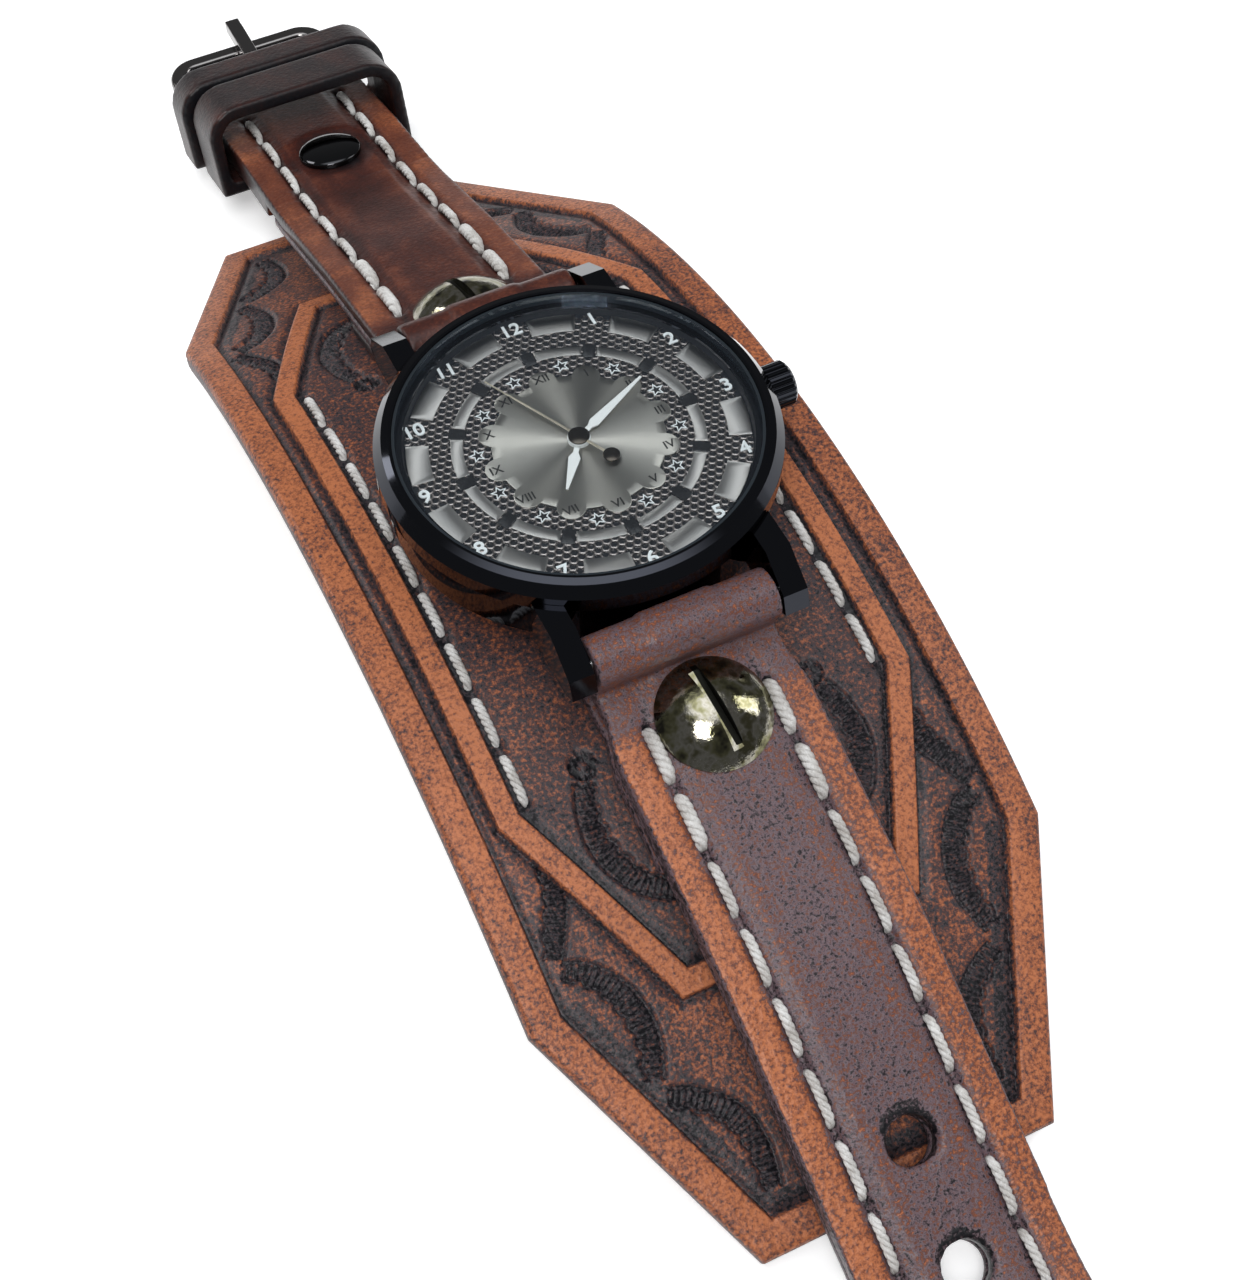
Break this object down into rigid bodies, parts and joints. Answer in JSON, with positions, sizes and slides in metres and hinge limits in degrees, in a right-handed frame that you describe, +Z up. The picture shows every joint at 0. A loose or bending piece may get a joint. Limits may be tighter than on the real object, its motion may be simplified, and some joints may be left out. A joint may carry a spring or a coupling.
{
  "type": "cuff watch",
  "caption": "Round analogue quartz watch on a stitched leather strap with buckle and keepers, screwed over a wide tooled leather wrist cuff.",
  "frame": {"origin": "on the table, at the middle of the whole part's footprint", "axes": "+Z up out of the dial, +Y along the strap towards 12 o'clock and the buckle, +X towards 3 o'clock and the crown"},
  "size_m": [0.0572, 0.2619, 0.0395],
  "materials": {
    "cuff_leather": "burnished, tan edges and dark tooling",
    "cuff_lining": "smooth",
    "strap_leather": "semi-gloss, tan edges",
    "strap_lining": "smooth",
    "keeper_leather": "semi-gloss",
    "thread": "twisted white thread",
    "screw_metal": "polished, dark antique",
    "black_metal": "polished black",
    "buckle_metal": "polished black nickel",
    "case_metal": "polished black",
    "crystal_glass": "clear",
    "gasket_rubber": "matte",
    "dark_ring": "satin black",
    "dial_metal": "sunburst, warm grey",
    "hand_white": "white",
    "hand_dark": "dark",
    "holder_plastic": "white",
    "plate_metal": "satin",
    "battery_steel": "satin",
    "copper_wire": "enamelled",
    "board_green": "gloss",
    "wheel_steel": "satin",
    "wheel_plastic": "white",
    "wheel_brass": "satin"
  },
  "bodies": {
    "cuff_and_watch": {"cuff": "cuff_leather", "cuff_lining": "cuff_lining", "cuff_stitching": "thread", "lower_strap": "strap_leather", "lower_strap_lining": "strap_lining", "lower_strap_stitching": "thread", "upper_strap": "strap_leather", "upper_strap_lining": "strap_lining", "upper_strap_stitching": "thread", "strap_screws": "screw_metal", "strap_screw_backs": "screw_metal", "case_middle": "case_metal", "bezel": "case_metal", "crystal": "crystal_glass", "crystal_gasket": "gasket_rubber", "rehaut": "dark_ring", "dial": "dial_metal", "movement_holder": "holder_plastic", "main_plate": "plate_metal", "train_bridge": "plate_metal", "battery": "battery_steel", "coil": "copper_wire", "circuit_board": "board_green", "stator": "wheel_steel", "case_back": "case_metal", "case_back_gasket": "gasket_rubber", "spring_bar_tubes": "wheel_steel", "spring_bar_springs": "wheel_steel"},
    "strap_tail": {"strap_tail": "strap_leather", "strap_tail_lining": "strap_lining", "strap_tail_stitching": "thread"},
    "buckle_end": {"buckle_strap_end": "strap_leather", "buckle_end_stitching": "thread", "fixed_keeper": "keeper_leather", "fold_rivet": "black_metal", "fold_rivet_back": "black_metal", "buckle_bar": "buckle_metal"},
    "free_keeper": {"free_keeper": "keeper_leather"},
    "buckle_frame": {"buckle_frame": "buckle_metal"},
    "buckle_prong": {"buckle_prong": "buckle_metal"},
    "setting_lever": {"setting_lever": "wheel_steel"},
    "crown": {"crown": "case_metal", "stem": "wheel_steel"},
    "seconds": {"seconds_hand": "hand_dark", "fourth_wheel": "wheel_brass"},
    "minutes": {"minute_hand": "hand_white", "cannon_pinion": "wheel_brass", "centre_wheel": "wheel_brass"},
    "hours": {"hour_hand": "hand_white", "hour_wheel": "wheel_brass"},
    "minute_wheel": {"minute_wheel": "wheel_plastic"},
    "third_wheel": {"third_wheel": "wheel_brass"},
    "fifth_wheel": {"fifth_wheel": "wheel_plastic"},
    "rotor": {"rotor": "wheel_plastic"},
    "bar_tip_1": {"spring_bar_tip_1": "wheel_steel"},
    "bar_tip_2": {"spring_bar_tip_2": "wheel_steel"},
    "bar_tip_3": {"spring_bar_tip_3": "wheel_steel"},
    "bar_tip_4": {"spring_bar_tip_4": "wheel_steel"}
  },
  "joints": [
    {"name": "tail_flex", "type": "hinge", "parent": "cuff_and_watch", "child": "strap_tail", "pos_m": [0, -0.07515, 0.00259], "axis": [1, 0, 0], "range_deg": [-20, 55]},
    {"name": "buckle_flex", "type": "hinge", "parent": "cuff_and_watch", "child": "buckle_end", "pos_m": [0, 0.08361, 0.01485], "axis": [1, 0, 0], "range_deg": [-30, 20]},
    {"name": "keeper_slide", "type": "slide", "parent": "buckle_end", "child": "free_keeper", "axis": [0, -0.9622, 0.2723], "range_m": [-0.001, 0.003]},
    {"name": "frame_turn", "type": "hinge", "parent": "buckle_end", "child": "buckle_frame", "pos_m": [0, 0.11812, 0.0035], "axis": [1, 0, 0], "range_deg": [-75, 25]},
    {"name": "prong_turn", "type": "hinge", "parent": "buckle_frame", "child": "buckle_prong", "pos_m": [0, 0.11812, 0.0035], "axis": [1, 0, 0], "range_deg": [0, 45]},
    {"name": "crown_pull", "type": "slide", "parent": "cuff_and_watch", "child": "setting_lever", "axis": [1, 0, 0], "range_m": [0, 0.001]},
    {"name": "crown_spin", "type": "hinge", "parent": "setting_lever", "child": "crown", "pos_m": [0.02, 0.01351, 0.03423], "axis": [1, 0, 0], "continuous": true},
    {"name": "seconds_spin", "type": "hinge", "parent": "cuff_and_watch", "child": "seconds", "pos_m": [0, 0.01351, 0.03453], "axis": [0, 0, -1], "continuous": true},
    {"name": "minutes_spin", "type": "hinge", "parent": "cuff_and_watch", "child": "minutes", "pos_m": [0, 0.01351, 0.03453], "axis": [0, 0, -1], "continuous": true},
    {"name": "hours_spin", "type": "hinge", "parent": "cuff_and_watch", "child": "hours", "pos_m": [0, 0.01351, 0.03453], "axis": [0, 0, -1], "continuous": true},
    {"name": "minute_wheel_spin", "type": "hinge", "parent": "cuff_and_watch", "child": "minute_wheel", "pos_m": [-0.00273, 0.01252, 0.03453], "axis": [0, 0, -1], "continuous": true},
    {"name": "third_wheel_spin", "type": "hinge", "parent": "cuff_and_watch", "child": "third_wheel", "pos_m": [-0.00109, 0.01051, 0.03453], "axis": [0, 0, -1], "continuous": true},
    {"name": "fifth_wheel_spin", "type": "hinge", "parent": "cuff_and_watch", "child": "fifth_wheel", "pos_m": [-0.00113, 0.01662, 0.03453], "axis": [0, 0, -1], "continuous": true},
    {"name": "rotor_spin", "type": "hinge", "parent": "cuff_and_watch", "child": "rotor", "pos_m": [-0.00321, 0.01782, 0.03453], "axis": [0, 0, -1], "continuous": true},
    {"name": "bar_tip_1_press", "type": "slide", "parent": "cuff_and_watch", "child": "bar_tip_1", "axis": [1, 0, 0], "range_m": [0, 0.0009], "stiffness_N_per_m": 800, "springref_m": -0.0008},
    {"name": "bar_tip_2_press", "type": "slide", "parent": "cuff_and_watch", "child": "bar_tip_2", "axis": [-1, 0, 0], "range_m": [0, 0.0009], "stiffness_N_per_m": 800, "springref_m": -0.0008},
    {"name": "bar_tip_3_press", "type": "slide", "parent": "cuff_and_watch", "child": "bar_tip_3", "axis": [1, 0, 0], "range_m": [0, 0.0009], "stiffness_N_per_m": 800, "springref_m": -0.0008},
    {"name": "bar_tip_4_press", "type": "slide", "parent": "cuff_and_watch", "child": "bar_tip_4", "axis": [-1, 0, 0], "range_m": [0, 0.0009], "stiffness_N_per_m": 800, "springref_m": -0.0008}
  ],
  "couplings": [
    {"joint": "minutes_spin", "follows": "seconds_spin", "ratio": 0.016667},
    {"joint": "hours_spin", "follows": "seconds_spin", "ratio": 0.0013889},
    {"joint": "minute_wheel_spin", "follows": "seconds_spin", "ratio": -0.0055556},
    {"joint": "third_wheel_spin", "follows": "seconds_spin", "ratio": -0.125},
    {"joint": "fifth_wheel_spin", "follows": "seconds_spin", "ratio": -6},
    {"joint": "rotor_spin", "follows": "seconds_spin", "ratio": 30}
  ]
}
